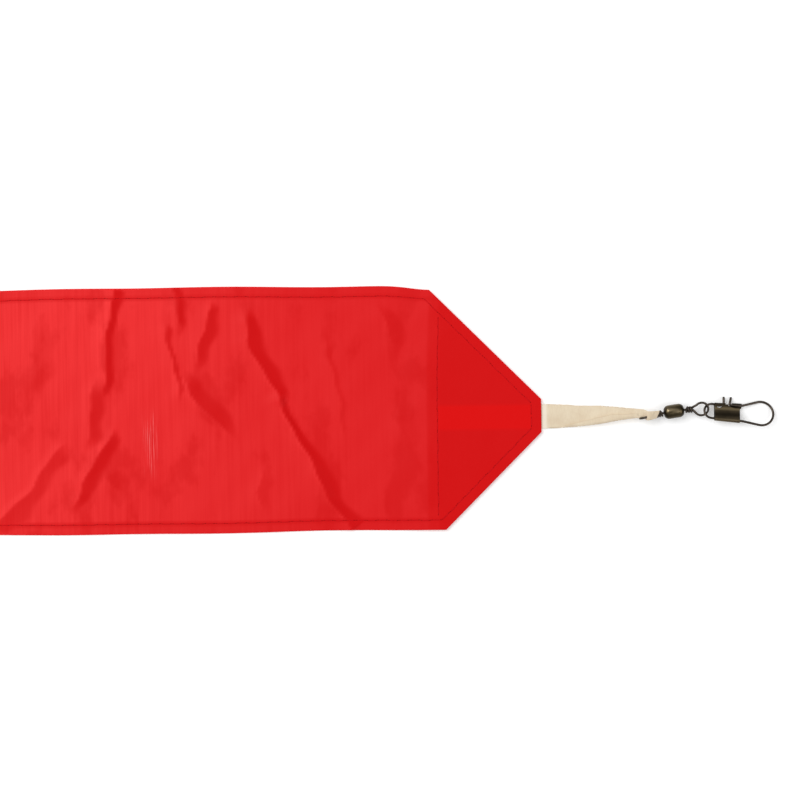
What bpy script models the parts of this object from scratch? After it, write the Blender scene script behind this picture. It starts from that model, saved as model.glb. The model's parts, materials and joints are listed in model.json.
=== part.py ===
"""Red cloth warning streamer with a woven tape loop, a barrel swivel and an interlock snap.

The strip lies on its underside along X, with the tail at -X and the snap at +X.
Places along the strip are measured from the tip of its pointed head.
"""
from math import acos, asin, atan2, cos, pi, radians, sin, tan

import bmesh
import bpy
from mathutils import Matrix, Vector

MM = 0.001

# cloth strip
STRIP_WIDTH = 100 * MM
STRIP_LENGTH = 600 * MM
TIP_OFFSET = -3.9 * MM
TIP_MARGIN = 1.75 * MM
HEM_WIDTH = 5 * MM
CLOTH_THICKNESS = 0.3 * MM
SEAT_GAP = 0.3 * MM

# second layer of the head
SEAM_FROM_TIP = 42.4 * MM
PATCH_TURN_IN = 4.2 * MM

# seams
STITCH_INSET = 4.1 * MM
THREAD_RADIUS = 0.2 * MM
THREAD_END_GAP = 1 * MM

# woven tape
TAPE_WIDTH = 10 * MM
TAPE_THICKNESS = 0.5 * MM
TAPE_FROM_TIP_MIDDLE = -0.4 * MM
TAPE_SEAM_GAP = 0.9 * MM
TAPE_FREE_LENGTH = 40 * MM
TAPE_DRIFT = -1.34 * MM
FOLD_FROM_TIP = 0.5 * MM
TAPE_START_GAP = 0.1 * MM
BUNDLE_HALF_WIDTH = 2.05 * MM
BUNDLE_HALF_HEIGHT = 1.1 * MM
BUNDLE_SIDE_SHIFT = 0.8 * MM
BIGHT_THICKNESS = 1.3 * MM
SLOT_CLEARANCE = 0.4 * MM

# barrel swivel
FLOOR_GAP = 0.1 * MM
SWIVEL_WIRE_RADIUS = 0.45 * MM
EYE_RADIUS = 2.75 * MM
EYE_MOUTH = radians(40)
NECK_LENGTH = 0.85 * MM
WRAP_TURNS = 2.75
WRAP_GAP = 0.1 * MM
WRAP_END_GAP = 0.4 * MM
HEAD_RADIUS = 1.1 * MM
HEAD_LENGTH = 1.2 * MM
HEAD_CLEARANCE = 0.5 * MM
BARREL_LENGTH = 8.2 * MM
BARREL_RADIUS = 2.85 * MM
BARREL_END_RADIUS = 1.05 * MM
BARREL_DOME = 2.1 * MM
BARREL_WALL = 0.6 * MM
HOLE_CLEARANCE = 0.3 * MM
TAPE_EYE_YAW = radians(12.4)
BARREL_YAW = radians(8.3)
SNAP_EYE_YAW = radians(2)
SNAP_EYE_ROLL = radians(20)

# interlock snap, in its own plane: x along it, y across it
SNAP_WIRE_RADIUS = 0.45 * MM
LINK_SLACK = 0.7 * MM
LINK_SIDE_OFFSET = -0.66 * MM
LINK_RADIUS = 3 * MM
LEG_LINE = 2.85 * MM
LEG_SPREAD = 3.65 * MM
LOOP_RADIUS = 5 * MM
LOOP_CENTRE = 23.3 * MM
STUB_INNER_BEND = 0.1 * MM
STUB_HEIGHT = 6.2 * MM
FIXED_STUB = 7.95 * MM
GATE_STUB = 10.4 * MM
GATE_STUB_LEAN = 0.55 * MM
GATE_GAP = 0.3 * MM
SNAP_YAW = radians(-3.76)
SNAP_ROLL = radians(-18)

# sheet clasp
CLASP_START = 4.1 * MM
CLASP_LENGTH = 10.3 * MM
CLASP_EAR = 1 * MM
CLASP_SHEET = 0.3 * MM
CLASP_CLEARANCE = 0.2 * MM
CLASP_NOTCH_DEPTH = 0.5 * MM
GATE_RELIEF = 0.25 * MM
FRONT_LOW_EDGE = 1.2 * MM
WINDOW_WIDTH = 3.2 * MM
WINDOW_DEPTH = 0.9 * MM
WINDOW_ARCH = 0.35 * MM
WINDOW_LAND = 0.05 * MM

# sizes that follow from those above
TIP_WIDTH = TAPE_WIDTH + 2 * TIP_MARGIN
TAPE_OFFSET = TIP_OFFSET + TAPE_FROM_TIP_MIDDLE
TAPE_SEWN_LENGTH = SEAM_FROM_TIP - TAPE_SEAM_GAP
PIN_OFFSET = TAPE_OFFSET + TAPE_DRIFT
CHAIN_HEIGHT = max(EYE_RADIUS + SWIVEL_WIRE_RADIUS, BARREL_RADIUS) + FLOOR_GAP
WRAP_PITCH = 2 * SWIVEL_WIRE_RADIUS + WRAP_GAP
WRAPS_END = EYE_RADIUS + NECK_LENGTH + WRAP_TURNS * WRAP_PITCH + SWIVEL_WIRE_RADIUS
EYE_TO_HOLE = WRAPS_END + WRAP_END_GAP + BARREL_WALL / 2
STUB_BEND = SNAP_WIRE_RADIUS + STUB_INNER_BEND
LEG_END = CLASP_START + CLASP_LENGTH + CLASP_EAR
LOOP_DROP = CHAIN_HEIGHT - FLOOR_GAP - SNAP_WIRE_RADIUS - LOOP_RADIUS * sin(abs(SNAP_ROLL))
SNAP_PITCH = asin(LOOP_DROP / LOOP_CENTRE)

# stack of layers, from the underside up
TAPE_BOTTOM = CLOTH_THICKNESS + SEAT_GAP
PANEL_BOTTOM = TAPE_BOTTOM + TAPE_THICKNESS + SEAT_GAP
HEM_HEIGHT = PANEL_BOTTOM + CLOTH_THICKNESS
TAPE_MIDDLE = TAPE_BOTTOM + TAPE_THICKNESS / 2
CUT_MARGIN = 2 * MM


# ---------------------------------------------------------------- scene helpers

def clear_scene():
    for obj in list(bpy.data.objects):
        bpy.data.objects.remove(obj)


def new_collection(name):
    collection = bpy.data.collections.new(name)
    bpy.context.scene.collection.children.link(collection)
    return collection


def make_material(name, colour, roughness, metallic):
    material = bpy.data.materials.new(name)
    material.use_nodes = True
    shader = material.node_tree.nodes["Principled BSDF"]
    shader.inputs["Base Color"].default_value = (*colour, 1)
    shader.inputs["Roughness"].default_value = roughness
    shader.inputs["Metallic"].default_value = metallic
    return material


def finish_object(obj, parent, finish):
    """Put a sub-part in the model's collection, under its frame, with its own material."""
    obj.data.materials.clear()
    obj.data.materials.append(make_material(obj.name, *finish))
    PARTS.objects.link(obj)
    obj.parent = parent
    return obj


def frame_empty(name, parent, matrix):
    """An empty whose world placement is matrix, so a joint's axis can be read from it."""
    empty = bpy.data.objects.new(name, None)
    empty.empty_display_size = 5 * MM
    PARTS.objects.link(empty)
    if parent is not None:
        bpy.context.view_layer.update()
        empty.parent = parent
        empty.matrix_parent_inverse = parent.matrix_world.inverted()
    empty.matrix_basis = matrix
    bpy.context.view_layer.update()
    return empty


def add_cutter(target, cutter):
    cutter.hide_render = True
    cutter.display_type = 'WIRE'
    CUTTERS.objects.link(cutter)
    cutter.parent = target.parent
    cut = target.modifiers.new(cutter.name, 'BOOLEAN')
    cut.operation = 'DIFFERENCE'
    cut.solver = 'EXACT'
    cut.object = cutter


# ---------------------------------------------------------------- outlines and tubes

def arc(centre, radius, start, end, steps):
    """Points on an arc in a plane, from one angle to another."""
    points = []
    for step in range(steps + 1):
        angle = start + (end - start) * step / steps
        points.append(Vector((centre[0] + radius * cos(angle), centre[1] + radius * sin(angle))))
    return points


def tangent_angle(point, centre, radius, side):
    """Angle on a circle where a straight line from an outside point touches it."""
    away = Vector(point) - Vector(centre)
    return atan2(away.y, away.x) + side * acos(radius / away.length)


def inset_outline(points, distance):
    """Move each edge of a convex outline, listed anticlockwise, inwards."""
    inner = []
    for index, point in enumerate(points):
        before = (point - points[index - 1]).normalized()
        after = (points[(index + 1) % len(points)] - point).normalized()
        normals = Vector((-before.y, before.x)), Vector((-after.y, after.x))
        inner.append(point + (normals[0] + normals[1]) * distance / (1 + normals[0].dot(normals[1])))
    return inner


def keep_right_of(points, x):
    """The part of an outline at or beyond x."""
    kept = []
    for index, point in enumerate(points):
        last = points[index - 1]
        if (last.x < x) != (point.x < x):
            kept.append(last.lerp(point, (x - last.x) / (point.x - last.x)))
        if point.x >= x:
            kept.append(point)
    return kept


def flat_solid(name, points, bottom, top):
    """A closed mesh object from a flat outline and its lowest and highest z."""
    curve = bpy.data.curves.new(name, 'CURVE')
    curve.dimensions = '2D'
    curve.fill_mode = 'BOTH'
    curve.extrude = (top - bottom) / 2
    spline = curve.splines.new('POLY')
    spline.points.add(len(points) - 1)
    for target, point in zip(spline.points, points):
        target.co = (point[0], point[1], 0, 1)
    spline.use_cyclic_u = True
    outline = bpy.data.objects.new(name + "_outline", curve)
    bpy.context.scene.collection.objects.link(outline)
    bpy.context.view_layer.update()
    evaluated = outline.evaluated_get(bpy.context.evaluated_depsgraph_get())
    mesh = bpy.data.meshes.new_from_object(evaluated)
    mesh.name = name
    bpy.data.objects.remove(outline)
    mesh.transform(Matrix.Translation((0, 0, (top + bottom) / 2)))
    shell = bmesh.new()
    shell.from_mesh(mesh)
    bmesh.ops.remove_doubles(shell, verts=shell.verts, dist=0.001 * MM)
    shell.to_mesh(mesh)
    shell.free()
    return bpy.data.objects.new(name, mesh)


def box_solid(name, low, high):
    outline = [(low[0], low[1]), (high[0], low[1]), (high[0], high[1]), (low[0], high[1])]
    return flat_solid(name, outline, low[2], high[2])


def wire(name, points, radius, sizes=None):
    """A round wire along a route, with an optional thickness factor at each point."""
    curve = bpy.data.curves.new(name, 'CURVE')
    curve.dimensions = '3D'
    curve.bevel_depth = radius
    curve.bevel_resolution = 2
    curve.use_fill_caps = True
    curve.render_resolution_u = 0
    spline = curve.splines.new('POLY')
    spline.points.add(len(points) - 1)
    for index, point in enumerate(points):
        spline.points[index].co = (*Vector(point).to_3d(), 1)
        spline.points[index].radius = sizes[index] if sizes else 1
    return bpy.data.objects.new(name, curve)


# ---------------------------------------------------------------- cloth and seams

def strip_outline():
    """The pointed strip seen from above, with 45 degree sides at its head."""
    half = STRIP_WIDTH / 2
    tip_low = TIP_OFFSET - TIP_WIDTH / 2
    tip_high = TIP_OFFSET + TIP_WIDTH / 2
    corners = [
        (-STRIP_LENGTH, -half),
        (-(half + tip_low), -half),
        (0, tip_low),
        (0, tip_high),
        (-(half - tip_high), half),
        (-STRIP_LENGTH, half),
    ]
    return [Vector(corner) for corner in corners]


def make_panel(strip):
    """One cloth layer with a hem rim under its edges, open at the tip for the tape."""
    panel = flat_solid("streamer_panel", strip_outline(), 0, HEM_HEIGHT)
    finish_object(panel, strip, RED_CLOTH)
    pocket = inset_outline(strip_outline(), HEM_WIDTH)
    add_cutter(panel, flat_solid("hem_pocket", pocket, -CUT_MARGIN, PANEL_BOTTOM))
    half_slot = TAPE_WIDTH / 2 + SEAT_GAP
    low = (-HEM_WIDTH - CUT_MARGIN, TAPE_OFFSET - half_slot, -CUT_MARGIN)
    high = (CUT_MARGIN, TAPE_OFFSET + half_slot, PANEL_BOTTOM)
    add_cutter(panel, box_solid("tape_slot", low, high))


def make_patch(strip):
    pocket = inset_outline(strip_outline(), HEM_WIDTH + SEAT_GAP)
    outline = keep_right_of(pocket, -SEAM_FROM_TIP - PATCH_TURN_IN)
    patch = flat_solid("head_patch", outline, 0, CLOTH_THICKNESS)
    finish_object(patch, strip, RED_CLOTH)


def make_sewn_tape(strip):
    low = (-TAPE_SEWN_LENGTH, TAPE_OFFSET - TAPE_WIDTH / 2, TAPE_BOTTOM)
    high = (0, TAPE_OFFSET + TAPE_WIDTH / 2, TAPE_BOTTOM + TAPE_THICKNESS)
    finish_object(box_solid("tape_sewn_end", low, high), strip, CREAM_TAPE)


def shortened(points):
    """A seam's route, kept clear of the seams it meets at both ends."""
    first = points[0] + (points[1] - points[0]).normalized() * THREAD_END_GAP
    last = points[-1] + (points[-2] - points[-1]).normalized() * THREAD_END_GAP
    return [first, *points[1:-1], last]


def make_threads(strip):
    row = inset_outline(strip_outline(), STITCH_INSET)
    tail_low, corner_low, tip_low, tip_high, corner_high, tail_high = row
    seam = [point for point in keep_right_of(row, -SEAM_FROM_TIP) if point.x < 0.001 * MM - SEAM_FROM_TIP]
    routes = {
        "lower_edge_thread": [tail_low, corner_low],
        "upper_edge_thread": [tail_high, corner_high],
        "tail_thread": [tail_low, tail_high],
        "head_edge_thread": [corner_low, tip_low, tip_high, corner_high],
        "patch_seam_thread": seam,
    }
    height = HEM_HEIGHT + SEAT_GAP + THREAD_RADIUS
    for name, route in routes.items():
        points = [Vector((*point, height)) for point in shortened(route)]
        finish_object(wire(name, points, THREAD_RADIUS), strip, RED_THREAD)


# ---------------------------------------------------------------- tape loop

def tape_section(x, y, z, half_width, half_height):
    """A flattened oval across the tape, as twelve points in the YZ plane."""
    squareness = 0.6
    ring = []
    for step in range(12):
        angle = 2 * pi * (step + 0.5) / 12
        across = abs(cos(angle)) ** squareness * (1 if cos(angle) > 0 else -1)
        up = abs(sin(angle)) ** squareness * (1 if sin(angle) > 0 else -1)
        ring.append((x, y + half_width * across, z + half_height * up))
    return ring


def make_tape_loop(fold, pin):
    """Flat at the fold and gathered into a bundle, with a slot for the eye's wire."""
    start = FOLD_FROM_TIP + TAPE_START_GAP
    slot_radius = SWIVEL_WIRE_RADIUS + SLOT_CLEARANCE
    slot_reach = EYE_RADIUS - (EYE_RADIUS ** 2 - BUNDLE_HALF_HEIGHT ** 2) ** 0.5 + FLOOR_GAP
    slot_end = TAPE_FREE_LENGTH + slot_reach + slot_radius
    bundle_y = PIN_OFFSET + BUNDLE_SIDE_SHIFT
    gathers = [
        # share of the free length, share of the sideways shift, half width, half height
        (0.44, 0.1, 0.7 * TAPE_WIDTH / 2 + 0.3 * BUNDLE_HALF_WIDTH, 0.5 * BUNDLE_HALF_HEIGHT),
        (0.72, 0.3, 0.3 * TAPE_WIDTH / 2 + 0.7 * BUNDLE_HALF_WIDTH, 0.9 * BUNDLE_HALF_HEIGHT),
        (0.95, 1.0, BUNDLE_HALF_WIDTH, BUNDLE_HALF_HEIGHT),
    ]
    rings = [tape_section(start, TAPE_OFFSET, TAPE_MIDDLE, TAPE_WIDTH / 2, TAPE_THICKNESS / 2)]
    for along, shift, half_width, half_height in gathers:
        y = TAPE_OFFSET + (bundle_y - TAPE_OFFSET) * shift
        z = TAPE_MIDDLE + (CHAIN_HEIGHT - TAPE_MIDDLE) * along
        rings.append(tape_section(TAPE_FREE_LENGTH * along, y, z, half_width, half_height))
    ends = [(slot_end, 1.0), (slot_end + BIGHT_THICKNESS, 0.6)]
    for x, share in ends:
        size = BUNDLE_HALF_WIDTH * share, BUNDLE_HALF_HEIGHT * share
        rings.append(tape_section(x, bundle_y, CHAIN_HEIGHT, *size))
    shell = bmesh.new()
    loops = []
    for ring in rings:
        loops.append([shell.verts.new(Vector(point) - fold.matrix_basis.translation + STRIP_SHIFT)
                      for point in ring])
    for near, far in zip(loops, loops[1:]):
        for index in range(12):
            after = (index + 1) % 12
            shell.faces.new((near[index], near[after], far[after], far[index]))
    shell.faces.new(loops[0])
    shell.faces.new(loops[-1])
    bmesh.ops.recalc_face_normals(shell, faces=shell.faces)
    mesh = bpy.data.meshes.new("tape_loop")
    shell.to_mesh(mesh)
    shell.free()
    loop = finish_object(bpy.data.objects.new("tape_loop", mesh), fold, CREAM_TAPE)
    slot_outline = arc((0, 0), slot_radius, pi / 2, 3 * pi / 2, 8)
    slot_outline += arc((slot_reach, 0), slot_radius, -pi / 2, pi / 2, 8)
    slot = flat_solid("eye_slot", slot_outline, -CHAIN_HEIGHT, CHAIN_HEIGHT)
    add_cutter(loop, slot)
    slot.parent = pin


# ---------------------------------------------------------------- barrel swivel

def make_eye(name, parent, placement):
    """A shank with its head in the barrel, a round eye, and the end wrapped on the shank."""
    neck = EYE_RADIUS + NECK_LENGTH
    head_start = EYE_TO_HOLE + BARREL_WALL / 2 + HOLE_CLEARANCE
    head_size = HEAD_RADIUS / SWIVEL_WIRE_RADIUS
    taper = 0.1 * MM
    points = [
        (head_start + HEAD_LENGTH, 0, 0),
        (head_start + taper, 0, 0),
        (head_start, 0, 0),
        (neck + 0.5 * MM, 0, 0),
        (neck, 0.15 * MM, 0),
    ]
    sizes = [head_size, head_size, 1, 1, 1]
    points += arc((0, 0), EYE_RADIUS, EYE_MOUTH, 2 * pi - EYE_MOUTH, 22)
    wrap_radius = 2 * SWIVEL_WIRE_RADIUS + WRAP_GAP
    wrap_steps = round(12 * WRAP_TURNS)
    for step in range(wrap_steps + 1):
        turns = WRAP_TURNS * step / wrap_steps
        angle = pi + 2 * pi * turns
        points.append((neck + WRAP_PITCH * turns, wrap_radius * cos(angle), wrap_radius * sin(angle)))
    sizes += [1] * (len(points) - len(sizes))
    eye = finish_object(wire(name, points, SWIVEL_WIRE_RADIUS, sizes), parent, DARK_BRONZE)
    eye.matrix_local = placement
    return eye


def make_barrel(barrel_frame):
    """A hollow turned barrel with a hole for a shank at each end."""
    half = BARREL_LENGTH / 2
    hole = SWIVEL_WIRE_RADIUS + HOLE_CLEARANCE
    outer = []
    for step in range(7):
        angle = pi / 2 * step / 6
        outer.append((BARREL_END_RADIUS + (BARREL_RADIUS - BARREL_END_RADIUS) * sin(angle),
                      half - BARREL_DOME * (1 - cos(angle))))
    inner_radius = BARREL_RADIUS - BARREL_WALL
    inner_top = half - BARREL_WALL
    seat_radius = HEAD_RADIUS + HEAD_CLEARANCE
    inner = [
        (hole, -inner_top),
        (seat_radius, -inner_top),
        (inner_radius, BARREL_DOME - half),
        (inner_radius, half - BARREL_DOME),
        (seat_radius, inner_top),
        (hole, inner_top),
    ]
    profile = [(hole, half)] + outer + [(r, -z) for r, z in reversed(outer)] + [(hole, -half)] + inner
    shell = bmesh.new()
    verts = [shell.verts.new((r, 0, z)) for r, z in profile]
    for index, vert in enumerate(verts):
        shell.edges.new((vert, verts[(index + 1) % len(verts)]))
    mesh = bpy.data.meshes.new("swivel_barrel")
    shell.to_mesh(mesh)
    shell.free()
    barrel = finish_object(bpy.data.objects.new("swivel_barrel", mesh), barrel_frame, DARK_BRONZE)
    barrel.rotation_euler = (0, pi / 2, 0)
    turn = barrel.modifiers.new("turn", 'SCREW')
    turn.steps = 24
    turn.render_steps = 24
    turn.use_merge_vertices = True
    turn.merge_threshold = 0.00001
    turn.use_smooth_shade = True


# ---------------------------------------------------------------- interlock snap

def lower_leg(x):
    """Height of the lower leg's centre line, which spreads towards the loop."""
    share = (x - LINK_RADIUS) / (LEG_END - LINK_RADIUS)
    return -(LINK_RADIUS + (LEG_SPREAD - LINK_RADIUS) * share)


def make_snap_wire(snap):
    """Fixed stub, linking bend, lower leg and the lower half of the end loop."""
    centre = (LOOP_CENTRE, 0)
    touch = tangent_angle((LEG_END, lower_leg(LEG_END)), centre, LOOP_RADIUS, 1) + 2 * pi
    far_angle = 2 * pi - GATE_GAP / 2 / LOOP_RADIUS
    points = [Vector((FIXED_STUB, STUB_HEIGHT))]
    points += arc((FIXED_STUB - STUB_BEND, LEG_LINE + STUB_BEND), STUB_BEND, 0, -pi / 2, 4)
    points += arc((LINK_RADIUS, 0), LINK_RADIUS, pi / 2, 3 * pi / 2, 14)
    points += [Vector((LEG_END, lower_leg(LEG_END)))]
    points += arc(centre, LOOP_RADIUS, touch, far_angle, 10)
    finish_object(wire("snap_wire", points, SNAP_WIRE_RADIUS), snap, DARK_BRONZE)


def make_gate(snap, gate_pivot):
    """The sprung upper half of the end loop, which ends in the second stub."""
    centre = (LOOP_CENTRE, 0)
    touch = tangent_angle((LEG_END, LEG_LINE), centre, LOOP_RADIUS, -1)
    near_angle = GATE_GAP / 2 / LOOP_RADIUS
    points = arc(centre, LOOP_RADIUS, near_angle, touch, 10)
    points += [Vector((LEG_END, LEG_LINE))]
    points += arc((GATE_STUB + STUB_BEND, LEG_LINE + STUB_BEND), STUB_BEND, -pi / 2, -pi, 4)
    points += [Vector((GATE_STUB + GATE_STUB_LEAN, STUB_HEIGHT))]
    gate = finish_object(wire("snap_gate", points, SNAP_WIRE_RADIUS), gate_pivot, DARK_BRONZE)
    gate.location.x = -(LOOP_CENTRE + LOOP_RADIUS)


def clasp_profile(x, middle):
    """The sheet's middle line across the snap: rear curl, rear plate, fold and front plate."""
    fold_y = lower_leg(x)
    profile = []
    for step in range(5):
        angle = pi / 2 * step / 4
        profile.append((x, LEG_LINE + middle * cos(angle), -middle * sin(angle)))
    for step in range(9):
        angle = pi * step / 8
        profile.append((x, fold_y - middle * sin(angle), -middle * cos(angle)))
    profile.append((x, LEG_LINE + middle, middle))
    return profile


def make_clasp(snap):
    """A folded sheet that grips both legs, with the gate's side open at its front."""
    middle = SNAP_WIRE_RADIUS + CLASP_CLEARANCE + CLASP_SHEET / 2
    end = CLASP_START + CLASP_LENGTH
    shell = bmesh.new()
    near = [shell.verts.new(point) for point in clasp_profile(CLASP_START, middle)]
    far = [shell.verts.new(point) for point in clasp_profile(LEG_END, middle)]
    for index in range(len(near) - 1):
        shell.faces.new((near[index], near[index + 1], far[index + 1], far[index]))
    mesh = bpy.data.meshes.new("snap_clasp")
    shell.to_mesh(mesh)
    shell.free()
    clasp = finish_object(bpy.data.objects.new("snap_clasp", mesh), snap, DARK_BRONZE)
    sheet = clasp.modifiers.new("sheet", 'SOLIDIFY')
    sheet.thickness = CLASP_SHEET
    sheet.offset = 0

    wire_top = LEG_LINE + SNAP_WIRE_RADIUS
    wire_bottom = LEG_LINE - SNAP_WIRE_RADIUS
    lip_start = GATE_STUB + STUB_BEND + SNAP_WIRE_RADIUS
    above = STUB_HEIGHT
    below = lower_leg(LEG_END) - CUT_MARGIN
    outer = middle + CUT_MARGIN

    low = (CLASP_START - CUT_MARGIN, wire_top, -outer)
    add_cutter(clasp, box_solid("top_trim", low, (lip_start, above, outer)))
    channel = SNAP_WIRE_RADIUS + CLASP_CLEARANCE
    low = (CLASP_START - CUT_MARGIN, LEG_LINE, -channel)
    add_cutter(clasp, box_solid("curl_trim", low, (lip_start, above, channel)))
    notch_start = FIXED_STUB + SNAP_WIRE_RADIUS + CLASP_CLEARANCE
    low = (notch_start, wire_top - CLASP_NOTCH_DEPTH, -outer)
    add_cutter(clasp, box_solid("stub_notch", low, (lip_start, above, outer)))

    relief_start = GATE_STUB - SNAP_WIRE_RADIUS - CLASP_CLEARANCE
    relief_top = wire_bottom - GATE_RELIEF
    scoop_width = (end - relief_start) * 0.55
    scoop = []
    for step in range(7):
        share = step / 6
        drop = (1 - cos(pi * share)) / 2
        scoop.append((relief_start + scoop_width * share,
                      relief_top + (FRONT_LOW_EDGE - relief_top) * drop))
    front = [(relief_start, above)] + scoop + [(end, FRONT_LOW_EDGE), (end, below)]
    front += [(LEG_END + CUT_MARGIN, below), (LEG_END + CUT_MARGIN, above)]
    add_cutter(clasp, flat_solid("gate_opening", front, CLASP_SHEET / 3, outer))

    rear = [(end, below), (LEG_END + CUT_MARGIN, below), (LEG_END + CUT_MARGIN, relief_top)]
    rear += [(LEG_END, relief_top), (end, FRONT_LOW_EDGE)]
    add_cutter(clasp, flat_solid("ear_trim", rear, -outer, outer))

    window_middle = (CLASP_START + FIXED_STUB) / 2
    window_corner = wire_bottom - WINDOW_LAND
    window = []
    for steps, depth in ((range(9), WINDOW_DEPTH), (range(7, 0, -1), WINDOW_ARCH)):
        for step in steps:
            x = window_middle + WINDOW_WIDTH * (step / 8 - 0.5)
            window.append((x, window_corner - depth * sin(pi * step / 8)))
    window_cutter = flat_solid("window", window, -outer, outer)
    window_cutter.data.transform(Matrix.Shear('XY', 4, (0, tan(SNAP_ROLL))))
    add_cutter(clasp, window_cutter)


# ---------------------------------------------------------------- places of the moving frames

def turned(point, yaw, pitch=0, roll=0):
    """A placement at a point, turned about its own Z, then Y, then X."""
    turn = Matrix.Rotation(yaw, 4, 'Z') @ Matrix.Rotation(pitch, 4, 'Y') @ Matrix.Rotation(roll, 4, 'X')
    return Matrix.Translation(point) @ turn


def chain_placements():
    """World placements of the chain's frames before the strip is centred on the origin."""
    hole_from_middle = (BARREL_LENGTH - BARREL_WALL) / 2
    pin = turned(Vector((TAPE_FREE_LENGTH, PIN_OFFSET, CHAIN_HEIGHT)), TAPE_EYE_YAW)
    near_hole = pin @ Vector((EYE_RADIUS + EYE_TO_HOLE, 0, 0))
    along = Matrix.Rotation(BARREL_YAW, 3, 'Z') @ Vector((1, 0, 0))
    barrel = turned(near_hole + along * hole_from_middle, BARREL_YAW)
    far_hole = barrel @ Vector((hole_from_middle, 0, 0))
    outward = Matrix.Rotation(SNAP_EYE_YAW, 3, 'Z') @ Vector((1, 0, 0))
    snap_eye = turned(far_hole + outward * EYE_TO_HOLE, SNAP_EYE_YAW, 0, SNAP_EYE_ROLL)
    wires = SWIVEL_WIRE_RADIUS + SNAP_WIRE_RADIUS
    link = snap_eye.translation + Vector((EYE_RADIUS - wires - LINK_SLACK, LINK_SIDE_OFFSET, 0))
    snap = turned(link, SNAP_YAW, SNAP_PITCH, SNAP_ROLL)
    gate = snap @ Matrix.Translation((LOOP_CENTRE + LOOP_RADIUS, 0, 0))
    fold = Matrix.Translation((FOLD_FROM_TIP, TAPE_OFFSET, TAPE_MIDDLE))
    return fold, pin, barrel, snap_eye, snap, gate


RED_CLOTH = ((0.78, 0.02, 0.025), 0.5, 0.0)
RED_THREAD = ((0.45, 0.008, 0.01), 0.6, 0.0)
CREAM_TAPE = ((0.79, 0.68, 0.52), 0.8, 0.0)
DARK_BRONZE = ((0.11, 0.08, 0.055), 0.35, 1.0)

clear_scene()
PARTS = new_collection("warning_streamer")
CUTTERS = new_collection("cutters")
PLACES = chain_placements()
REACH = (PLACES[5].translation.x + SNAP_WIRE_RADIUS)
STRIP_SHIFT = Vector(((STRIP_LENGTH - REACH) / 2, 0, 0))


def build():
    shift = Matrix.Translation(STRIP_SHIFT)
    fold_place, pin_place, barrel_place, snap_eye_place, snap_place, gate_place = PLACES
    strip = frame_empty("strip_frame", None, shift)
    fold = frame_empty("tape_fold_axis", strip, shift @ fold_place)
    pin = frame_empty("swivel_swing_axis", fold, shift @ pin_place)
    barrel = frame_empty("barrel_axis", pin, shift @ barrel_place)
    snap_eye = frame_empty("snap_swing_axis", barrel, shift @ snap_eye_place)
    snap = frame_empty("snap_frame", snap_eye, shift @ snap_place)
    gate = frame_empty("gate_axis", snap, shift @ gate_place)

    make_panel(strip)
    make_patch(strip)
    make_sewn_tape(strip)
    make_threads(strip)
    make_tape_loop(fold, pin)
    upright = Matrix.Translation((EYE_RADIUS, 0, 0)) @ Matrix.Rotation(pi / 2, 4, 'X')
    make_eye("swivel_tape_eye", pin, upright)
    make_barrel(barrel)
    make_eye("swivel_snap_eye", snap_eye, Matrix.Rotation(pi, 4, 'Z'))
    make_snap_wire(snap)
    make_clasp(snap)
    make_gate(snap, gate)


build()
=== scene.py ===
import json
from math import cos, pi, radians, sin

import bmesh
import bpy
import numpy as np
from mathutils import Matrix, Vector


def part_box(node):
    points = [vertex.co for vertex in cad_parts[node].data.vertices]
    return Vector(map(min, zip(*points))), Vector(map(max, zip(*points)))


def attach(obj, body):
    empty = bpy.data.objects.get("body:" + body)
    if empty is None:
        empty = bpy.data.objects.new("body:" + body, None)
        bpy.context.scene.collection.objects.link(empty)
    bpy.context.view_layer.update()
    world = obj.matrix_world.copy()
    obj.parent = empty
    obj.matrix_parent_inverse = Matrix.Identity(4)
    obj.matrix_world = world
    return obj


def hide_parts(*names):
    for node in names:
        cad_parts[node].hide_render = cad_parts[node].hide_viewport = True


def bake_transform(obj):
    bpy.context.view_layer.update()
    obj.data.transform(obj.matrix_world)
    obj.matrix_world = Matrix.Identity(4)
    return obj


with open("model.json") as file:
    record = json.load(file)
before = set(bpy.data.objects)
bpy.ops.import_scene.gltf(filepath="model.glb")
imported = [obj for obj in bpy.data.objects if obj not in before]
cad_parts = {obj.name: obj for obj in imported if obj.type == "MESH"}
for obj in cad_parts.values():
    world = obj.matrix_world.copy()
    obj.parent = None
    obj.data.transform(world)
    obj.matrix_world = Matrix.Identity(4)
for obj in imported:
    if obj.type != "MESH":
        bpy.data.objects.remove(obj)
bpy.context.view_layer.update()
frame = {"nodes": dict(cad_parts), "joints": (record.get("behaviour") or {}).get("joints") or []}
mm = 0.001

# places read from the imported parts
clothLow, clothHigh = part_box("streamer_panel")
sewnLow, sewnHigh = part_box("tape_sewn_end")
seamX = (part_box("patch_seam_thread")[0].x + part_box("patch_seam_thread")[1].x) / 2
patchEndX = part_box("head_patch")[0].x
tip = clothHigh.x
halfWidth = clothHigh.y
tapeY = (sewnLow.y + sewnHigh.y) / 2
joints = {joint["name"]: joint for joint in frame["joints"]}
gatePin = Vector(joints["gate_open"]["pos_m"])
gateAxis = Vector(joints["gate_open"]["axis"])


# small helpers for meshes and node trees

def finishMesh(name, bm, materials, smooth=True):
    for face in bm.faces:
        face.smooth = smooth
    mesh = bpy.data.meshes.new(name)
    bm.to_mesh(mesh)
    bm.free()
    piece = bpy.data.objects.new(name, mesh)
    bpy.context.scene.collection.objects.link(piece)
    for material in materials:
        mesh.materials.append(material)
    return piece


def smoothStep(value, low, high):
    share = np.clip((value - low) / (high - low), 0, 1)
    return share * share * (3 - 2 * share)


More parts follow.
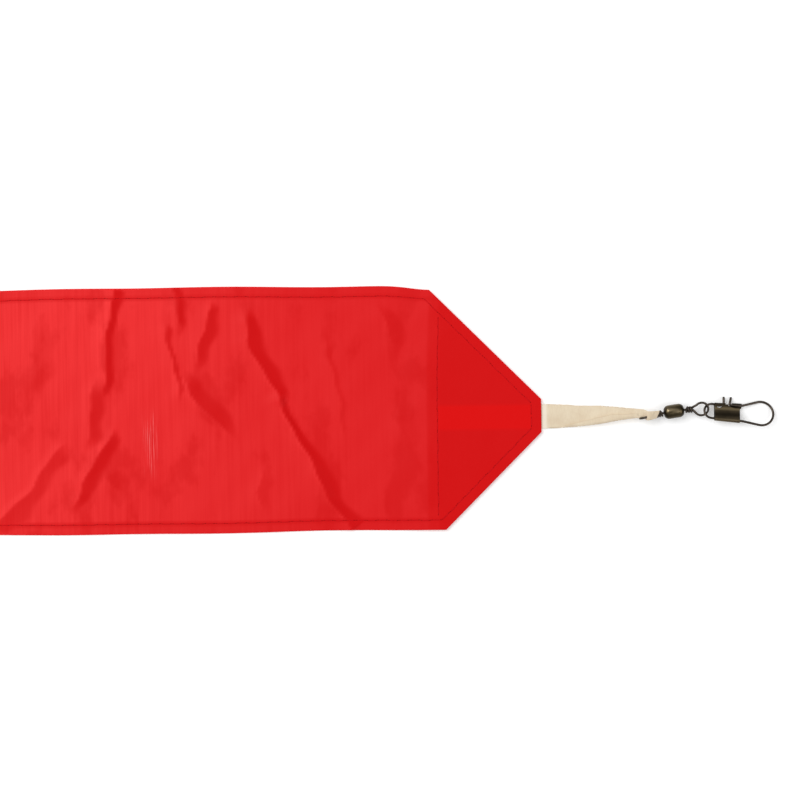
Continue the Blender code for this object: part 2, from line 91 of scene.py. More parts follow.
def newMaterial(name, **values):
    material = bpy.data.materials.new(name)
    material.use_nodes = True
    shader = material.node_tree.nodes["Principled BSDF"]
    for key, value in values.items():
        shader.inputs[key].default_value = value
    return material, material.node_tree, shader


def addNode(tree, kind, **values):
    node = tree.nodes.new(kind)
    for key, value in values.items():
        setattr(node, key, value)
    return node


def mathNode(tree, operation, first, second):
    node = addNode(tree, "ShaderNodeMath", operation=operation)
    for socket, value in zip(node.inputs, (first, second)):
        if isinstance(value, (int, float)):
            socket.default_value = value
        else:
            tree.links.new(value, socket)
    return node.outputs[0]


def weighted(tree, first, second):
    parts = [mathNode(tree, "MULTIPLY", value, share) for value, share in (first, second)]
    return mathNode(tree, "ADD", *parts)


def noiseNode(tree, vector, size, scale=(1, 1, 1), detail=3, rough=0.5):
    mapping = addNode(tree, "ShaderNodeMapping")
    mapping.inputs["Scale"].default_value = scale
    tree.links.new(vector, mapping.inputs["Vector"])
    node = addNode(tree, "ShaderNodeTexNoise")
    node.inputs["Scale"].default_value = 1 / size
    node.inputs["Detail"].default_value = detail
    node.inputs["Roughness"].default_value = rough
    tree.links.new(mapping.outputs[0], node.inputs["Vector"])
    return node.outputs["Fac"]


def waveNode(tree, vector, pitch, direction, distortion=0.0):
    node = addNode(tree, "ShaderNodeTexWave", bands_direction=direction)
    node.inputs["Scale"].default_value = 0.314 / pitch  # the wave repeats every pi / 10 at scale 1
    node.inputs["Distortion"].default_value = distortion
    tree.links.new(vector, node.inputs["Vector"])
    return node.outputs["Fac"]


def mixColour(tree, share, first, second):
    node = addNode(tree, "ShaderNodeMix", data_type="RGBA")
    colours = [socket for socket in node.inputs if socket.type == "RGBA"]
    for socket, value in zip(colours, (first, second)):
        if isinstance(value, tuple):
            socket.default_value = (*value, 1)
        else:
            tree.links.new(value, socket)
    factor = node.inputs[0]
    if isinstance(share, (int, float)):
        factor.default_value = share
    else:
        tree.links.new(share, factor)
    return [socket for socket in node.outputs if socket.type == "RGBA"][0]


def ramp(tree, value, low, high):
    node = addNode(tree, "ShaderNodeMapRange", interpolation_type="SMOOTHSTEP")
    node.inputs["From Min"].default_value = low
    node.inputs["From Max"].default_value = high
    tree.links.new(value, node.inputs["Value"])
    return node.outputs[0]


def attributeNode(tree, name):
    return addNode(tree, "ShaderNodeAttribute", attribute_name=name).outputs["Fac"]


def flatPlace(tree, span):
    # places on the unfolded cloth, in millimetres
    flat = addNode(tree, "ShaderNodeUVMap", uv_map="flat").outputs[0]
    scaled = addNode(tree, "ShaderNodeVectorMath", operation="SCALE")
    scaled.inputs["Scale"].default_value = span
    tree.links.new(flat, scaled.inputs[0])
    return scaled.outputs[0]


def addBump(tree, shader, height, distance, strength, before=None):
    node = addNode(tree, "ShaderNodeBump")
    node.inputs["Distance"].default_value = distance
    node.inputs["Strength"].default_value = strength
    tree.links.new(height, node.inputs["Height"])
    if before is not None:
        tree.links.new(before, node.inputs["Normal"])
    tree.links.new(node.outputs[0], shader.inputs["Normal"])
    return node.outputs[0]


# cloth finish: thin taffeta with slubs along the weft, darker where it is doubled, with painted light,
# painted sheen and painted fold shade in its colour

clothFinish = {
    "lit": (0.88, 0.030, 0.031),
    "body": (0.69, 0.006, 0.008),
    "doubled": (0.645, 0.0, 0.0005),
    "overTape": (0.73, 0.0, 0.0),
    "creaseShade": (0.63, 0.001, 0.002),
    "rubbed": (0.95, 0.22, 0.22),
    "lightShare": 0.85,
    "patchShare": 0.5,
    "threadPitch": 0.32,
    "roughness": 0.5,
}


def makeClothFinish():
    material, tree, shader = newMaterial("redTaffeta", Roughness=clothFinish["roughness"])
    shader.inputs["Specular IOR Level"].default_value = 0.11
    shader.inputs["Sheen Weight"].default_value = 0.05
    shader.inputs["Sheen Roughness"].default_value = 0.4
    shader.inputs["Sheen Tint"].default_value = (1, 0.5, 0.5, 1)
    cloth = flatPlace(tree, patternSpan / mm)
    fine = noiseNode(tree, cloth, 1, (2.2, 0.035, 1), 4, 0.65)
    broad = noiseNode(tree, cloth, 1, (0.45, 0.012, 1), 2, 0.5)
    # broad clouds of painted sheen
    sheenClouds = noiseNode(tree, cloth, 55, (1, 1, 1), 2, 0.5)
    streaks = weighted(tree, (fine, 0.55), (broad, 0.45))
    # painted light and painted sheen: slub streaks and broad clouds lift the red towards the lit colour,
    # scaled by the painted light attribute
    light = weighted(tree, (ramp(tree, streaks, 0.3, 0.7), 0.55), (sheenClouds, 0.8))
    light = mathNode(tree, "MULTIPLY", light, clothFinish["lightShare"])
    light = mathNode(tree, "MULTIPLY", light, attributeNode(tree, "lit"))
    colour = mixColour(tree, light, clothFinish["body"], clothFinish["lit"])
    # random darker patches, in the same deep red as the painted fold shade
    patches = noiseNode(tree, cloth, 17, (1, 0.5, 1), 4, 0.55)
    patches = mathNode(tree, "MULTIPLY", ramp(tree, patches, 0.5, 0.62), clothFinish["patchShare"])
    colour = mixColour(tree, patches, colour, clothFinish["creaseShade"])
    rubbed = mathNode(tree, "MULTIPLY", attributeNode(tree, "rubbed"), ramp(tree, fine, 0.5, 0.66))
    # painted shade on the steep side of the folds and along the edge seams, from the attribute
    colour = mixColour(tree, attributeNode(tree, "creaseShade"), colour, clothFinish["creaseShade"])
    colour = mixColour(tree, rubbed, colour, clothFinish["rubbed"])
    for name in ("doubled", "overTape"):
        colour = mixColour(tree, attributeNode(tree, name), colour, clothFinish[name])
    tree.links.new(colour, shader.inputs["Base Color"])
    warp = waveNode(tree, cloth, clothFinish["threadPitch"], "X")
    weft = waveNode(tree, cloth, clothFinish["threadPitch"], "Y")
    weave = mathNode(tree, "MULTIPLY", warp, weft)
    first = addBump(tree, shader, weave, 0.03 * mm, 0.35)
    addBump(tree, shader, streaks, 0.08 * mm, 0.35, first)
    return material


# cloth shape: fold lines in millimetres from the tip and from the middle line

patternSpan = 0.64
streamer = {
    "columns": 470,
    "rows": 128,
    "foldRadius": 0.16 * mm,
    "hemWidth": 5.2 * mm,
    "turnIn": 4.4 * mm,
    "seamInset": 4.1 * mm,
    "lowest": 0.46 * mm,
    "headHeight": 1.6 * mm,
    "cornerSlip": 2.0,
    "rubbedSpot": (-159.6, -13.5, 2.6, 11.5),
}
# each fold line: its points, height, width of the soft side at start and end, width of the
# steep side at start and end, darkness of the painted shade on its steep side, share of the length that
# fades at start and end
foldLines = [
    ([(-174.4, 50), (-175.8, 35), (-177.1, 25), (-177.9, 14), (-177.0, 2)],
     0.9, (9, 6), (4.6, 3.2), 1.0, (0.01, 0.2)),
    ([(-149.4, 50), (-148.1, 39), (-146.6, 29)], 0.7, (7, 6), (4.6, 3.0), 0.95, (0.02, 0.35)),
    ([(-153.4, 37), (-150.6, 22), (-148.9, 13), (-146.4, 2)], 0.5, (6, 5), (2.8, 2.2), 0.8, (0.15, 0.2)),
    ([(-134.0, 46), (-137.0, 33), (-141.5, 14)], 0.7, (8, 8), (5.0, 6.2), 0.85, (0.15, 0.3)),
    ([(-147.8, 17), (-143.5, 6), (-136.0, -1), (-122.8, -13.5)], 0.8, (9, 7), (9.5, 6.0), 0.85, (0.25, 0.3)),
    ([(-120.0, 42), (-119.5, 28), (-114.8, 18), (-110.2, 10), (-103.6, 1)],
     1.0, (8, 9), (6.4, 6.2), 1.0, (0.15, 0.15)),
    ([(-109.0, 8), (-102.8, -5), (-98.3, -13.8), (-92.6, -24), (-86.5, -37), (-77.6, -50)],
     1.3, (9, 11), (2.6, 7.6), 1.0, (0.08, 0.01)),
    ([(-90.0, 35), (-85.0, 17), (-82.0, 0), (-79.2, -19)], 0.3, (12, 14), (2.0, 2.0), 0.35, (0.25, 0.3)),
    ([(-66.0, 44), (-62.0, 32), (-59.0, 20)], 0.35, (10, 10), (6, 6), 0.5, (0.3, 0.35)),
    ([(-60.0, 8), (-58.0, -6), (-52.0, -22)], 0.3, (12, 12), (7, 8), 0.3, (0.35, 0.35)),
    ([(-193.2, -11), (-202.0, -22), (-209.7, -32), (-218.5, -41), (-225.0, -48)],
     0.6, (3, 3), (7, 8), 0.55, (0.15, 0.08)),
    ([(-173.6, -6), (-179.9, -16.5), (-188.2, -30.5), (-192.0, -42)],
     0.8, (4, 4), (5.5, 6.8), 0.85, (0.15, 0.2)),
    ([(-181.5, 16), (-183.5, 2), (-186.0, -16)], 0.5, (7, 8), (7, 8), 0.8, (0.3, 0.25)),
    ([(-177.8, -22), (-176.0, -28), (-172.0, -35)], 0.35, (6, 6), (6, 6), 0.5, (0.35, 0.35)),
    ([(-204.0, 42), (-207.5, 24), (-205.0, 2)], 0.3, (9, 9), (9, 9), 0.3, (0.3, 0.35)),
    ([(-112.0, -22), (-116.0, -33), (-113.0, -44)], 0.3, (8, 8), (7, 7), 0.35, (0.3, 0.35)),
    ([(-262, 50), (-257, 20), (-252, -12)], 0.9, (11, 9), (5, 4), 0.8, (0.02, 0.3)),
    ([(-300, -50), (-291, -22), (-274, 6)], 0.9, (9, 9), (5, 4), 0.8, (0.02, 0.3)),
    ([(-340, 36), (-329, 4), (-322, -30)], 0.8, (10, 9), (4, 5), 0.7, (0.3, 0.3)),
    ([(-398, 50), (-388, 16), (-372, -14)], 1.1, (11, 9), (5, 4), 0.9, (0.02, 0.25)),
    ([(-430, -48), (-422, -16), (-410, 12)], 0.8, (9, 8), (4, 4), 0.7, (0.02, 0.3)),
    ([(-476, 30), (-466, -4), (-452, -34)], 0.9, (10, 9), (5, 4), 0.8, (0.3, 0.3)),
    ([(-520, 50), (-511, 20), (-508, -6)], 0.9, (9, 9), (5, 4), 0.8, (0.02, 0.3)),
    ([(-556, -50), (-549, -24), (-536, 4)], 0.8, (9, 9), (4, 4), 0.7, (0.02, 0.3)),
]
# long gentle waves: height, length along X, slant, phase
waves = [(0.30, 64, 0.25, 0.6), (0.22, 41, -0.4, 2.1), (0.14, 27, 0.7, 4.0), (0.10, 17, -0.9, 1.3)]


def nearestOnLine(points, s, y):
    # signed distance from a bent line and how far along it, both for every point at once
    points = np.array(points, float)
    lengths = np.hypot(*np.diff(points, axis=0).T)
    best = np.full_like(s, 1e9)
    across = np.zeros_like(s)
    share = np.zeros_like(s)
    for index, length in enumerate(lengths):
        a, run = points[index], points[index + 1] - points[index]
        along = np.clip(((s - a[0]) * run[0] + (y - a[1]) * run[1]) / length ** 2, 0, 1)
        offX, offY = s - a[0] - run[0] * along, y - a[1] - run[1] * along
        distance = np.hypot(offX, offY)
        side = np.where((offY * run[0] - offX * run[1]) < 0, -1, 1)
        closer = distance < best
        across = np.where(closer, distance * side, across)
        share = np.where(closer, (lengths[:index].sum() + along * length) / lengths.sum(), share)
        best = np.minimum(best, distance)
    return across, share


def foldProfile(s, y):
    height = np.zeros_like(s)
    dark = np.zeros_like(s)
    creaseHighlight = np.zeros_like(s)
    warpS = s + 0.5 * np.sin(y / 4.3 + s / 31) + 0.35 * np.sin(y / 1.9 + s / 17 + 2)
    warpY = y + 0.5 * np.sin(s / 5.1 + y / 23 + 1) + 0.25 * np.sin(s / 2.3 + 4)
    ragged = 1 + 0.16 * np.sin(y / 5.7 + s / 13) + 0.1 * np.sin(y / 2.4 + 1.3)
    for points, rise, soft, steep, depth, fades in foldLines:
        across, share = nearestOnLine(points, warpS, warpY)
        fade = smoothStep(share, 0, fades[0]) * smoothStep(1 - share, 0, fades[1])
        softWidth = soft[0] + (soft[1] - soft[0]) * share
        steepWidth = (steep[0] + (steep[1] - steep[0]) * share) * ragged * (0.3 + 0.7 * fade)
        width = np.where(across < 0, softWidth, steepWidth)
        rounded = np.sqrt(across ** 2 + 0.09) - 0.3
        height += rise * fade * np.clip(1 - rounded / width, 0, 1) ** 2
        # painted shade: a dark band on the steep side of each fold
        band = smoothStep(across, -0.4, 0.5) * (1 - smoothStep(across, steepWidth * 0.6, steepWidth))
        dark = np.maximum(dark, depth * fade * band)
        # painted highlight on the gentle side of each fold, fading away from the fold line
        creaseHighlight = np.maximum(creaseHighlight, depth * fade * np.exp(across / 2.6) * smoothStep(-across, -0.3, 0.4))
    return height, dark, creaseHighlight


def clothShape(x, y):
    s = (np.asarray(x, float) - tip) / mm
    y = np.asarray(y, float) / mm
    height, dark, creaseHighlight = foldProfile(s, y)
    for rise, length, slant, phase in waves:
        height += rise * (0.5 + 0.5 * np.sin(2 * pi * (s + slant * y) / length + phase))
    flatHead = smoothStep(s, -52, -34)
    height = height * (1 - 0.72 * flatHead)
    level = streamer["lowest"] + (streamer["headHeight"] - streamer["lowest"]) * smoothStep(s, -62, -40)
    edge = smoothStep(halfWidth / mm - np.abs(y), 0, 12)
    height = height * (0.55 + 0.45 * edge)
    return level + height * mm, dark, creaseHighlight


def driftCloth(bm):
    # cut edges are never quite straight: slow waves, and the head's upper corner slips along its slant
    x = np.array([vert.co.x for vert in bm.verts])
    y = np.array([vert.co.y for vert in bm.verts])
    s, share = (x - tip) / mm, y / halfWidth
    waviness = (0.28 * np.sin(s / 29 + 0.7) + 0.16 * np.sin(s / 11.5)) * smoothStep(-s, 30, 70)
    slip = streamer["cornerSlip"] * np.exp(-((s + 47) / 10) ** 2) * np.maximum(share, 0) ** 2
    for vert, newX, newY in zip(bm.verts, x + slip * mm, y + (waviness * share - slip) * mm):
        vert.co.x, vert.co.y = newX, newY


def layOnCloth(bm):
    height = clothShape([vert.co.x for vert in bm.verts], [vert.co.y for vert in bm.verts])[0]
    for vert, ground in zip(bm.verts, height):
        vert.co.z += ground
    driftCloth(bm)


# the outline's corners, anticlockwise from the tail, and the same line moved inwards
tipLow = sewnLow.y - 1.35 * mm
tipHigh = sewnHigh.y + 2.15 * mm
outline = [
    Vector((clothLow.x, -halfWidth)), Vector((tip - halfWidth - tipLow, -halfWidth)), Vector((tip, tipLow)),
    Vector((tip, tipHigh)), Vector((tip - halfWidth + tipHigh, halfWidth)), Vector((clothLow.x, halfWidth)),
]


def inset(corners, distance):
    moved = []
    for index, corner in enumerate(corners):
        before = (corner - corners[index - 1]).normalized()
        after = (corners[(index + 1) % len(corners)] - corner).normalized()
        first, second = Vector((-before.y, before.x)), Vector((-after.y, after.x))
        moved.append(corner + (first + second) * distance / (1 + first.dot(second)))
    return moved


def pointOnSide(corners, side, share):
    return corners[side].lerp(corners[(side + 1) % len(corners)], share)


def sideOf(corners, point):
    best = None
    for side in range(len(corners)):
        a, b = corners[side], corners[(side + 1) % len(corners)]
        share = min(max((point - a).dot(b - a) / (b - a).length_squared, 0), 1)
        distance = (a.lerp(b, share) - point).length
        if best is None or distance < best[0]:
            best = (distance, side, share)
    return best[1], best[2]


def gridOnOutline(corners, columns, rows, endCell):
    # a grid over the outline's box, finer towards the tip, cut to its slanted sides
    low = Vector((min(c.x for c in corners), min(c.y for c in corners)))
    high = Vector((max(c.x for c in corners), max(c.y for c in corners)))
    bm = bmesh.new()
    bmesh.ops.create_grid(bm, x_segments=columns, y_segments=rows, size=1)
    for vert in bm.verts:
        back = (1 - vert.co.x) / 2
        back = back * (1 - endCell + endCell * back)
        vert.co.x = high.x - (high.x - low.x) * back
        vert.co.y = low.y + (high.y - low.y) * (vert.co.y + 1) / 2
    for side in range(len(corners)):
        a, b = corners[side], corners[(side + 1) % len(corners)]
        if abs(a.x - b.x) > mm and abs(a.y - b.y) > mm:
            outward = Vector((b.y - a.y, a.x - b.x, 0)).normalized()
            everything = bm.verts[:] + bm.edges[:] + bm.faces[:]
            bmesh.ops.bisect_plane(
                bm, geom=everything, dist=1e-7, plane_co=a.to_3d(), plane_no=outward, clear_outer=True)
    rim = [vert for vert in bm.verts if vert.is_boundary]
    merged = bmesh.ops.find_doubles(bm, verts=bm.verts[:], keep_verts=rim, dist=0.25 * mm)["targetmap"]
    bmesh.ops.weld_verts(bm, targetmap=merged)
    return bm


def foldedRim(bm, outer, grown, rows):
    # rows are (inset from the outline, drop below the top, length of cloth used so far)
    flatX = bm.verts.layers.float.new("flatX")
    flatY = bm.verts.layers.float.new("flatY")
    drop = bm.verts.layers.float.new("drop")
    for vert in bm.verts:
        vert[flatX], vert[flatY] = vert.co.x, vert.co.y
    edges = [edge for edge in bm.edges if edge.is_boundary]
    places = {}
    for vert in {v for edge in edges for v in edge.verts}:
        places[vert] = sideOf(grown, vert.co.xy)
    for distance, below, used in rows:
        made = bmesh.ops.extrude_edge_only(bm, edges=edges)["geom"]
        fresh = [item for item in made if isinstance(item, bmesh.types.BMVert)]
        corners, flat = inset(outer, distance), inset(outer, -used)
        moved = {}
        for vert in fresh:
            known = [edge.other_vert(vert) for edge in vert.link_edges if edge.other_vert(vert) in places]
            source = min(known, key=lambda other: (other.co - vert.co).length)
            side, share = places[source]
            vert.co.xy = pointOnSide(corners, side, share)
            vert[drop] = below
            vert[flatX], vert[flatY] = pointOnSide(flat, side, share)
            moved[vert] = (side, share)
        places = moved
        edges = [item for item in made if isinstance(item, bmesh.types.BMEdge) and item.is_boundary]
    return flatX, flatY, drop


def hemRows(radius, width, turnIn):
    rows = []
    for step in range(1, 6):
        angle = pi * step / 5
        rows.append((radius - radius * sin(angle), radius - radius * cos(angle), radius * angle))
    used = radius * pi
    for share in (0.3, 0.65, 1):
        rows.append((radius + (width - radius) * share, 2 * radius, used + width * share))
    rows.append((width + 0.08 * mm, 1.5 * radius, used + width + 0.15 * mm))
    rows.append((width - 0.1 * mm, radius, used + width + 0.3 * mm))
    rows.append((width - turnIn, radius, used + width + turnIn))
    return rows


def addFlatMap(bm, flatX, flatY):
    flat = bm.loops.layers.uv.new("flat")
    for face in bm.faces:
        for loop in face.loops:
            loop[flat].uv = (loop.vert[flatX] / patternSpan + 0.5, loop.vert[flatY] / patternSpan + 0.5)


def paint(piece, name, values):
    attribute = piece.data.attributes.new(name, "FLOAT", "POINT")
    attribute.data.foreach_set("value", np.asarray(values, np.float32))


def makeStreamer(material):
    radius = streamer["foldRadius"]
    grown = inset(outline, radius)
    bm = gridOnOutline(grown, streamer["columns"], streamer["rows"], 0.36)
    rows = hemRows(radius, streamer["hemWidth"], streamer["turnIn"])
    flatX, flatY, drop = foldedRim(bm, outline, grown, rows)
    addFlatMap(bm, flatX, flatY)
    x = np.array([vert.co.x for vert in bm.verts])
    y = np.array([vert.co.y for vert in bm.verts])
    below = np.array([vert[drop] for vert in bm.verts])
    height, dark, creaseHighlight = clothShape(x, y)
    for vert, z in zip(bm.verts, height - below):
        vert.co.z = z
    driftCloth(bm)
    cloth = finishMesh("streamer_cloth", bm, [material])
    s = (x - tip) / mm
    across = np.abs(y) / mm
    hem = smoothStep(across, 45.0, 45.9)
    lining = smoothStep(s, (patchEndX - tip) / mm - 0.5, (patchEndX - tip) / mm + 0.7)
    seamed = smoothStep(s, (seamX - tip) / mm - 0.5, (seamX - tip) / mm + 0.5)
    besideTape = smoothStep(np.abs(y - tapeY) / mm, 4.6, 5.4)
    overTape = 0.92 * seamed * (1 - besideTape) * (1 - smoothStep(s, -4.6, -3.8))
    # painted shade in a shallow groove either side of the long edge seams
    fromSeam = np.abs(across - (halfWidth - streamer["seamInset"]) / mm)
    seamGrooveShade = 0.6 * (1 - smoothStep(fromSeam, 0.4, 1.5)) * (s < outline[1].x / mm)
    # painted shade on the steep side of the folds, weaker on the lined head, and in the seam grooves
    paint(cloth, "creaseShade", np.maximum(dark * (1 - 0.5 * lining), seamGrooveShade))
    paint(cloth, "doubled", np.maximum(0.3 * hem, np.maximum(0.65 * lining, 0.88 * seamed)))
    paint(cloth, "overTape", overTape)
    spotS, spotY, reachS, reachY = streamer["rubbedSpot"]
    spot = ((s - spotS) / reachS) ** 4 + ((y / mm - spotY) / reachY) ** 4
    paint(cloth, "rubbed", 0.8 * np.exp(-spot))
    # painted light: brighter towards the tail, dimmer towards the tip, plus the painted highlight beside
    # each fold
    paint(cloth, "lit", 1.1 - 0.9 * smoothStep(s, -240, -30) + 0.5 * creaseHighlight)
    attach(cloth, "streamer")
    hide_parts("streamer_panel")
    return cloth


# head lining: the second layer under the pointed head, its long edge turned in

lining = {
    "inset": 1.3 * mm,
    "height": 0.3 * mm,
    "columns": 46,
    "rows": 90,
    "turnIn": 4 * mm,
    "foldRadius": 0.1 * mm,
}


def liningCorners():
    # the outline moved inwards, cut off at the turned-in edge
    corners = inset(outline, lining["inset"])
    kept = []
    for index, corner in enumerate(corners):
        last = corners[index - 1]
        if (last.x < patchEndX) != (corner.x < patchEndX):
            kept.append(last.lerp(corner, (patchEndX - last.x) / (corner.x - last.x)))
        if corner.x >= patchEndX + mm:
            kept.append(corner)
    return kept


def makeLining(material):
    corners = liningCorners()
    grown = inset(corners, lining["foldRadius"])
    bm = gridOnOutline(grown, lining["columns"], lining["rows"], 0.0)
    radius = lining["foldRadius"]
    turnIn = lining["turnIn"]
    rows = [(0, -radius, radius * 1.5), (radius, -2 * radius, radius * 3), (turnIn, -2 * radius, turnIn)]
    flatX, flatY, drop = foldedRim(bm, corners, grown, rows)
    addFlatMap(bm, flatX, flatY)
    for vert in bm.verts:
        wave = 0.06 * mm * sin(vert.co.x / (4 * mm)) * sin(vert.co.y / (7 * mm) + 1)
        vert.co.z = lining["height"] - 0.1 * mm + wave - vert[drop]
    driftCloth(bm)
    bmesh.ops.reverse_faces(bm, faces=bm.faces[:])
    piece = finishMesh("head_lining", bm, [material])
    count = len(piece.data.vertices)
    for name, value in (("doubled", 0.4), ("lit", 0.7), ("creaseShade", 0), ("overTape", 0), ("rubbed", 0)):
        paint(piece, name, np.full(count, value))
    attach(piece, "streamer")
    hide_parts("head_patch")
    return piece


# stitches: one small arched tube for each, its ends diving into the cloth and darkened with painted shade

stitching = {
    "pitch": 4.4 * mm,
    "length": 4.35 * mm,
    "radius": 0.16 * mm,
    "dive": 0.22 * mm,
    "wander": 0.08 * mm,
    "crossShort": 0.8 * mm,
    "thread": (0.74, 0.006, 0.011),
    "hole": (0.46, 0.002, 0.004),
}


def makeThreadFinish(name, colour):
    material, tree, shader = newMaterial(name, Roughness=0.8)
    shader.inputs["Specular IOR Level"].default_value = 0.1
    place = addNode(tree, "ShaderNodeTexCoord").outputs["Object"]
    twist = noiseNode(tree, place, 0.25 * mm, (1, 1, 1), 2, 0.5)
    darker = tuple(0.75 * channel for channel in colour)
    tree.links.new(mixColour(tree, twist, darker, colour), shader.inputs["Base Color"])
    addBump(tree, shader, twist, 0.04 * mm, 0.6)
    return material


def stitchTemplate():
    bm = bmesh.new()
    radius = stitching["radius"]
    bmesh.ops.create_cone(bm, cap_ends=True, segments=6, radius1=radius, radius2=radius, depth=1)
    long = [edge for edge in bm.edges if abs(edge.verts[0].co.z - edge.verts[1].co.z) > 0.5]
    bmesh.ops.subdivide_edges(bm, edges=long, cuts=5, use_grid_fill=True)
    bmesh.ops.rotate(bm, verts=bm.verts, matrix=Matrix.Rotation(pi / 2, 3, "Y"), cent=(0, 0, 0))
    for face in bm.faces:
        # the stitch ends, where they enter the needle holes, take the painted shade finish
        face.material_index = 1 if abs(face.calc_center_median().x) > 0.4 else 0
    mesh = bpy.data.meshes.new("stitchShape")
    bm.to_mesh(mesh)
    bm.free()
    return mesh


def makeSeam(name, node, route, shape, materials):
    bm = bmesh.new()
    turn = 0
    for start, end in zip(route, route[1:]):
        run = end - start
        count = max(1, round(run.length / stitching["pitch"]))
        step = run / count
        direction = run.normalized()
        sideways = Vector((-direction.y, direction.x))
        for index in range(count):
            turn += 1
            middle = start + step * (index + 0.5) + sideways * stitching["wander"] * sin(turn * 2.4)
            before = len(bm.verts)
            bm.from_mesh(shape)
            bm.verts.ensure_lookup_table()
            for vert in bm.verts[before:]:
                place = middle + direction * vert.co.x * stitching["length"] + sideways * vert.co.y
                arch = stitching["radius"] * 0.55 - stitching["dive"] * abs(2 * vert.co.x) ** 4
                vert.co = Vector((place.x, place.y, arch + vert.co.z))
    layOnCloth(bm)
    seam = finishMesh(name, bm, materials)
    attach(seam, "streamer")
    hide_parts(node)
    return seam


def makeSeams():
    shape = stitchTemplate()
    materials = [makeThreadFinish("redThread", stitching["thread"]),
                 makeThreadFinish("needleHoleShade", stitching["hole"])]
    row = inset(outline, streamer["seamInset"])
    tailLow, cornerLow, tipLowPoint, tipHighPoint, cornerHigh, tailHigh = row
    crossLow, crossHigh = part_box("patch_seam_thread")
    seamLow = Vector((seamX, crossLow.y + stitching["crossShort"]))
    seamHigh = Vector((seamX, crossHigh.y - stitching["crossShort"]))
    routes = {
        "lower_edge_stitches": ("lower_edge_thread", [tailLow, cornerLow]),
        "upper_edge_stitches": ("upper_edge_thread", [tailHigh, cornerHigh]),
        "tail_stitches": ("tail_thread", [tailLow, tailHigh]),
        "head_edge_stitches": ("head_edge_thread", [cornerLow, tipLowPoint, tipHighPoint, cornerHigh]),
        "lining_seam_stitches": ("patch_seam_thread", [seamLow, seamHigh]),
    }
    return [makeSeam(name, node, route, shape, materials) for name, (node, route) in routes.items()]


# woven tape: flat in the head, folded over on both sides towards the eye

tape = {
    "width": 10 * mm,
    "thickness": 0.36 * mm,
    "layerGap": 0.42 * mm,
    "points": 44,
    "step": 0.6 * mm,
    "ribPitch": 0.42,
    "paleEnd": 2.3,
    "patternSpan": 100,
    "shaded": (0.70, 0.56, 0.39),
    "cream": (0.80, 0.68, 0.50),
    "yarn": (0.88, 0.78, 0.62),
    "pale": (0.93, 0.85, 0.72),
}
# millimetres from the tip: side place, shown width, flap folded over, height of the middle
tapeStations = [
    (-41.5, -4.3, 10.0, 0.0, 0.85),
    (-2.0, -4.3, 10.0, 0.0, 0.85),
    (0.8, -4.31, 9.9, 0.0, 0.86),
    (8.0, -4.28, 9.3, 0.3, 1.00),
    (13.0, -4.22, 8.7, 1.2, 1.25),
    (17.9, -4.13, 8.1, 1.9, 1.65),
    (24.0, -4.0, 7.2, 2.6, 2.20),
    (28.9, -3.66, 5.9, 2.8, 2.75),
    (33.8, -3.52, 4.6, 2.0, 3.35),
    (37.5, -3.5, 3.7, 1.8, 3.80),
    (39.2, -3.58, 3.3, 1.7, 4.02),
]
returnStations = [
    (-5.0, -4.4, 9.4, 0.0, 0.49),
    (1.5, -4.4, 9.4, 0.0, 0.44),
    (8.0, -4.4, 8.9, 0.0, 0.42),
    (13.0, -4.35, 8.2, 0.3, 0.45),
    (17.9, -4.3, 7.4, 1.2, 0.68),
    (28.9, -3.9, 5.2, 2.2, 1.40),
    (36.0, -3.7, 3.4, 2.2, 2.05),
    (39.2, -3.5, 2.9, 2.2, 2.50),
]


def stationAt(stations, s):
    for first, second in zip(stations, stations[1:]):
        if s <= second[0]:
            share = (s - first[0]) / (second[0] - first[0])
            share = max(0.0, share)
            share = share * share * (3 - 2 * share) * 0.35 + share * 0.65
            return [a + (b - a) * share for a, b in zip(first, second)]
    return list(stations[-1])


def tapeSection(shown, over, under, used):
    # a point of the folded section: side place and height in millimetres
    gap = tape["layerGap"] / mm
    if used < over:
        return over - used - shown / 2, gap * float(smoothStep(over - used, 0.0, 0.9))
    if used < over + shown:
        return used - over - shown / 2, 0.0
    back = used - over - shown
    return shown / 2 - back, -gap * float(smoothStep(back, 0.0, 0.9))


def addStrip(bm, flat, columns, rows, length, place):
    # one run of tape: a flat grid whose points are laid in place, along and then across
    before = len(bm.verts)
    facesBefore = len(bm.faces)
    bmesh.ops.create_grid(bm, x_segments=columns, y_segments=rows, size=1)
    bm.verts.ensure_lookup_table()
    bm.faces.ensure_lookup_table()
    for face in bm.faces[facesBefore:]:
        for loop in face.loops:
            along, across = (loop.vert.co.x + 1) / 2, (loop.vert.co.y + 1) / 2
            span = tape["patternSpan"]
            loop[flat].uv = (along * length / span, across * tape["width"] / mm / span)
    for vert in bm.verts[before:]:
        vert.co = place((vert.co.x + 1) / 2, (vert.co.y + 1) / 2)


def placeOnTape(stations, along, across):
    s = stations[0][0] + (stations[-1][0] - stations[0][0]) * along
    _, side, shown, over, height = stationAt(stations, s)
    under = min(max(0.0, tape["width"] / mm - shown - over), 0.85 * shown)
    y, z = tapeSection(shown, over, under, across * (shown + over + under))
    free = min(max(s / 8, 0), 1)
    crown = 0.16 * (1 - (2 * y / shown) ** 2) * free
    lean = (0.12 * sin(s / 5.0) + 0.05 * sin(s / 1.9 + y)) * free
    waver = 0.06 * sin(s / 3.1) * free
    return Vector((tip + s * mm, (side + y + waver) * mm, (height + z + crown + lean * y / 2) * mm))


